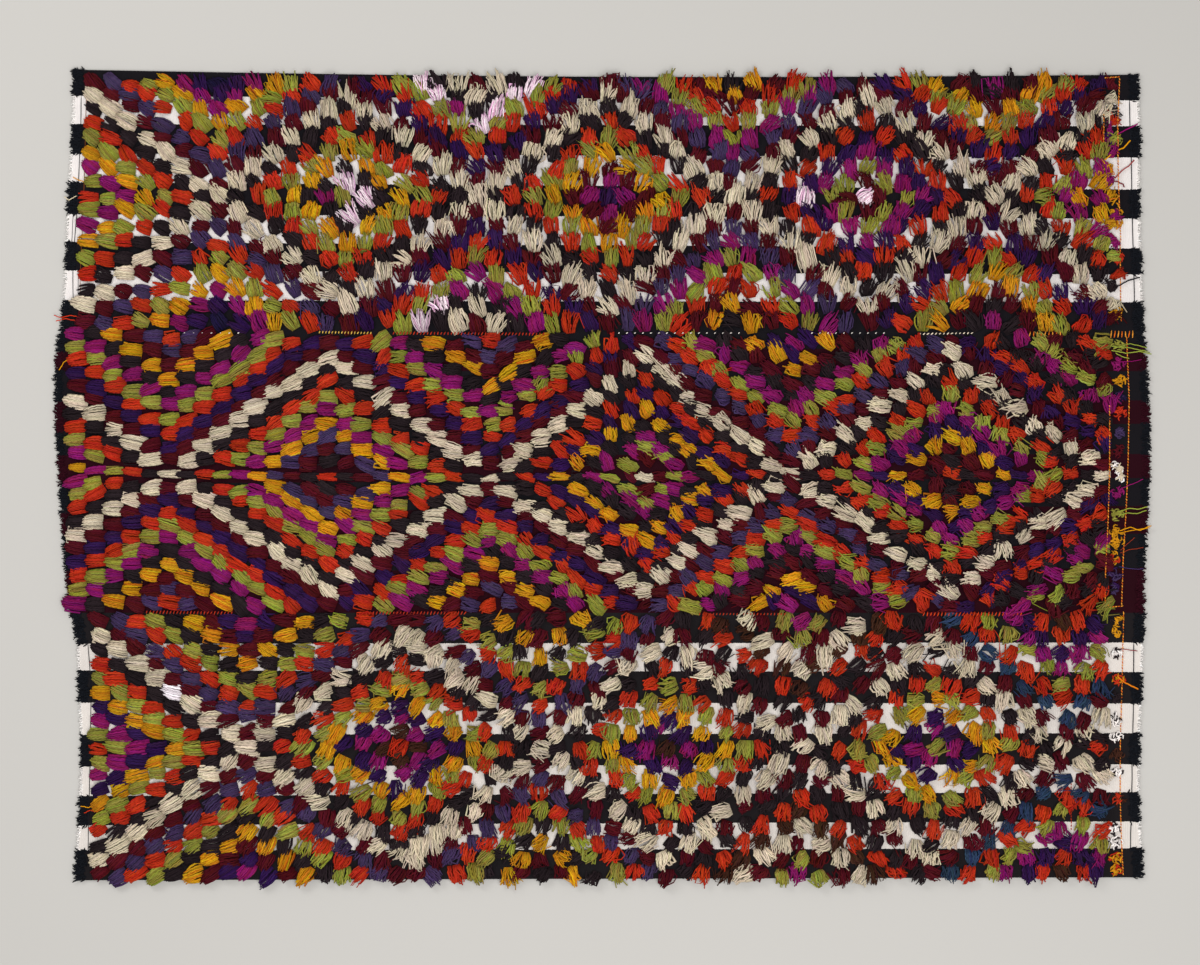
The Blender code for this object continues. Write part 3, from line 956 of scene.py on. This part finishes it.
# Threads whose stitches take two colours in turn, a lighter and a deeper one: painted highlights
# along the twist of the thread
LIT_AND_SHADED_THREAD = {ORANGE_THREAD: "D0641C"}
SEAMS = (
    (ORANGE_THREAD, 2.6, 2.4, 12, 0.0125, ((1104, 78), (1119, 77))),
    (*RUNNING, 0.0125, ((1119.5, 78), (1117.5, 125), (1118, 148))),
    (*RUNNING, 0.0090, ((1118, 148), (1119, 190), (1121, 240))),
    (*RUNNING, 0.0045, ((1121, 240), (1121.5, 300), (1122, 322))),
    (*RUNNING, 0.0125, ((1103.7, 114), (1103.5, 143))),
    (*RUNNING, 0.0045,
     ((1127.5, 336), (1130, 400), (1129, 460), (1127, 510), (1124, 560), (1122.5, 605))),
    (*RUNNING, 0.0120,
     ((1109.5, 405), (1109.5, 470), (1108, 520), (1105.5, 570), (1105, 602), (1110, 607),
      (1122, 606))),
    (*RUNNING, 0.0045,
     ((1124.5, 612), (1123, 680), (1121.2, 740), (1121, 800), (1122.3, 840), (1124, 876))),
    (RED_THREAD, 3.2, 2.6, 0, 0.0040, ((1072, 783), (1072, 831))),
    (CREAM_THREAD, 9.0, 1.6, 20, 0.0115, ((180, 333), (245, 333))),
    ("D8B050", 3.2, 2.6, 70, 0.0110, ((318, 332), (372, 333))),
    (RED_THREAD, 3.4, 3.2, 65, 0.0110, ((392, 333), (545, 334))),
    (CREAM_THREAD, 8.0, 1.8, 30, 0.0115, ((615, 333), (742, 333))),
    (CREAM_THREAD, 8.0, 1.8, 30, 0.0115, ((808, 333), (885, 333))),
    ("E8D8C0", 4.0, 2.4, 40, 0.0115, ((918, 334), (972, 333))),
    (ORANGE_THREAD, 3.8, 4.5, 80, 0.0110, ((1028, 334), (1062, 334))),
    (ORANGE_THREAD, 3.6, 6.5, 85, 0.0060, ((1110, 334), (1137, 334))),
    (RED_THREAD, 3.4, 3.4, 65, 0.0110, ((145, 612), (232, 613))),
    (RED_THREAD, 3.4, 3.4, 65, 0.0110, ((358, 613), (468, 613))),
    (RED_THREAD, 3.4, 2.2, 60, 0.0115, ((698, 614), (786, 614))),
    ("C8401C", 3.6, 4.2, 70, 0.0115, ((922, 614), (1021, 614))),
)


# A stitch's stray in radians and metres, its range of lengths, how deep its ends dip and how wide
# they are, and its range of tones
STITCH_STRAY, LIFT_STRAY, STITCH_LENGTHS, STITCH_DIP, STITCH_TIP = 0.12, 0.0002, (0.8, 1.15), 0.0012, 0.7
THREAD_TONES, THREAD_FLATNESS, THREAD_SEED = (0.8, 1.2), 1.0, 11


def along(points, pitch):
    """Places every pitch along a line of points, and the line's direction at each of them."""
    points = np.array([(at_x(x), at_y(y)) for x, y in points])
    runs = np.diff(points, axis=0)
    lengths = np.hypot(*runs.T)
    reach = np.concatenate([[0], np.cumsum(lengths)])
    spots = np.arange(pitch / 2, reach[-1], pitch)
    x = np.interp(spots, reach, points[:, 0])
    y = np.interp(spots, reach, points[:, 1])
    run = np.clip(np.searchsorted(reach, spots, side="right") - 1, 0, len(runs) - 1)
    return x, y, np.arctan2(runs[run, 1], runs[run, 0])


def stitches(rng):
    """Every stitch as a small arch of three rings."""
    parts = []
    for wool, pitch, length, slant, lift, points in SEAMS:
        x, y, way = along(points, pitch * PIXEL)
        count = len(x)
        angle = way + math.radians(slant) + rng.normal(0, STITCH_STRAY, count)
        half = length * PIXEL / 2 * rng.uniform(*STITCH_LENGTHS, count)
        step = np.array([-1, 0, 1])
        z = lift + np.array([-STITCH_DIP, 0.0, -STITCH_DIP])
        z = z + rng.normal(0, LIFT_STRAY, (count, 3))
        centres = np.stack(
            [x[:, None] + half[:, None] * step * np.cos(angle)[:, None],
             y[:, None] + half[:, None] * step * np.sin(angle)[:, None], z], axis=2,
        )
        widths = np.full((count, 3), THREAD_HALF_WIDTH) * np.array([STITCH_TIP, 1.0, STITCH_TIP])
        # Every second stitch takes the thread's other colour: painted highlight and shade along its
        # twist
        second = LIT_AND_SHADED_THREAD.get(wool, wool)
        thread = np.array([linear(wool)[:3], linear(second)[:3]])
        colours = thread[np.arange(count) % 2][:, None, :] * rng.uniform(*THREAD_TONES, (count, 1, 1))
        parts.append((centres, widths, np.clip(colours, 0, 1).repeat(3, axis=1)))
    return [np.concatenate(pieces) for pieces in zip(*parts)]


rng = np.random.default_rng(THREAD_SEED)
sewing = strand_mesh("stitches", *stitches(rng), THREAD_FLATNESS)
sewing.data.materials.append(fray_wool)
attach(sewing, "root")


# Loose ends: stray weft threads that cross the white stripes near both ends, and long ends of
# knots that were never trimmed and lie over the bare cloth.
# Each is a wool, a half width and a height in metres, and the photograph points it runs through.
BLACK_THREAD = "1C1C22"
LOOSE_ENDS = (
    (BLACK_THREAD, 0.0007, 0.0042, ((80.5, 92), (80, 125), (77, 200), (73, 260), (73.5, 330))),
    (BLACK_THREAD, 0.0005, 0.0042, ((74, 184), (72, 225), (71.5, 245), (78, 270), (78, 300))),
    ("8A4A22", 0.0005, 0.0045, ((85.5, 92), (84, 150), (81.5, 230), (79, 300), (78, 330))),
    (BLACK_THREAD, 0.0007, 0.0042, ((87, 640), (90, 700), (89, 760), (88, 820), (87, 860))),
    ("DA9510", 0.0009, 0.0080, ((97, 804), (89, 808), (81, 806))),
    ("C9371B", 0.0008, 0.0080, ((96, 812), (90, 810), (83, 813))),
    (BLACK_THREAD, 0.0009, 0.0042,
     ((1130, 96), (1131.5, 160), (1132, 215), (1133.8, 275), (1134, 305))),
    (BLACK_THREAD, 0.0009, 0.0042,
     ((1134.7, 640), (1134, 705), (1133, 765), (1132, 822), (1131.5, 852))),
    ("8E9A3C", 0.0010, 0.0085, ((1112, 346), (1125, 347), (1138, 349), (1150, 352))),
    ("96A23E", 0.0010, 0.0080, ((1112, 350), (1126, 353), (1140, 351), (1152, 353))),
    ("8E9A3C", 0.0009, 0.0090, ((1114, 348), (1130, 344), (1146, 348))),
    ("96A23E", 0.0009, 0.0080, ((1116, 353), (1122, 358), (1129, 360))),
    ("961468", 0.0006, 0.0070, ((1118, 362), (1128, 361), (1142, 359))),
    ("961468", 0.0007, 0.0070, ((1122, 488), (1130, 485), (1143, 480))),
    ("96A23E", 0.0010, 0.0080, ((1119, 512), (1128, 509), (1138, 510), (1148, 508))),
    ("8E9A3C", 0.0010, 0.0075, ((1119, 515), (1128, 513), (1138, 513), (1147, 511))),
    ("DA9510", 0.0010, 0.0075, ((1120, 531), (1130, 527), (1140, 530), (1151, 526))),
    ("DA9510", 0.0008, 0.0078, ((1119, 533), (1132, 530), (1150, 527))),
    ("9A3A22", 0.0006, 0.0070, ((1121, 553), (1130, 550), (1143, 548))),
    ("9A3A22", 0.0006, 0.0070, ((1121, 550), (1128, 543), (1136, 537))),
    ("4B3E74", 0.0005, 0.0065, ((1120, 567), (1130, 569), (1144, 568))),
    ("961468", 0.0012, 0.0070, ((1117, 134), (1124, 131), (1131, 128), (1139, 124))),
    ("DA9510", 0.0014, 0.0080, ((1104, 160), (1114, 151), (1124, 147), (1131, 140))),
    ("A04040", 0.0012, 0.0070, ((1116, 178), (1122, 171), (1129, 166), (1134, 160))),
    ("7A2A34", 0.0012, 0.0070, ((1110, 180), (1118, 182), (1124, 185), (1125, 188))),
    (BLACK_THREAD, 0.0013, 0.0070, ((1106, 290), (1117, 287), (1128, 281), (1141, 278))),
    ("8A2030", 0.0008, 0.0070, ((1121, 649), (1128, 650), (1138, 651))),
    ("DA7A18", 0.0015, 0.0070, ((1118, 676), (1124, 682), (1130, 685), (1138, 689))),
    ("C9371B", 0.0009, 0.0080, ((80, 317), (70, 315), (60, 317), (53, 315))),
    ("C9371B", 0.0009, 0.0080, ((78, 321), (68, 318), (58, 321))),
    ("DA9510", 0.0009, 0.0075, ((84, 182), (77, 179), (71, 176))),
    ("DCCDAE", 0.0009, 0.0075, ((76, 196), (69, 200), (64, 196))),
    ("DA9510", 0.0009, 0.0075, ((82, 356), (72, 358), (63, 362), (58, 370))),
)
LOOSE_RINGS, LOOSE_FLATNESS, LOOSE_SEED = 24, 0.9, 5
# How far an end wanders from ring to ring and up and down, and how low its first ring lies
WANDER, LOOSE_STRAY, ROOT_DIP = 0.00025, 0.0002, 0.0015


def loose_strands(rng):
    """Each loose end as one long strand through its points, with a little wander."""
    centres, widths, colours = [], [], []
    for wool, half_width, lift, points in LOOSE_ENDS:
        places = np.array([(at_x(x), at_y(y)) for x, y in points])
        reach = np.concatenate([[0], np.cumsum(np.hypot(*np.diff(places, axis=0).T))])
        spots = np.linspace(0, reach[-1], LOOSE_RINGS)
        wander = np.cumsum(rng.normal(0, WANDER, (LOOSE_RINGS, 2)), axis=0)
        x = np.interp(spots, reach, places[:, 0]) + wander[:, 0]
        y = np.interp(spots, reach, places[:, 1]) + wander[:, 1]
        z = lift + rng.normal(0, LOOSE_STRAY, LOOSE_RINGS)
        z[0] -= ROOT_DIP
        centres.append(np.stack([x, y, z], axis=1))
        widths.append(np.full(LOOSE_RINGS, half_width))
        colours.append(np.tile(linear(wool)[:3], (LOOSE_RINGS, 1)))
    return np.array(centres), np.array(widths), np.array(colours)


rng = np.random.default_rng(LOOSE_SEED)
ends_of_yarn = strand_mesh("loose_ends", *loose_strands(rng), LOOSE_FLATNESS)
ends_of_yarn.data.materials.append(fray_wool)
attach(ends_of_yarn, "root")


# Strips: each woven ground is one cloth, joined to the rug's root body, and the strip's plain panel
# from model.glb is hidden.
for strip in ("far", "middle", "near"):
    cloth = grounds["ground_" + strip]
    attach(cloth, "root")
    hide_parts("panel_" + strip)
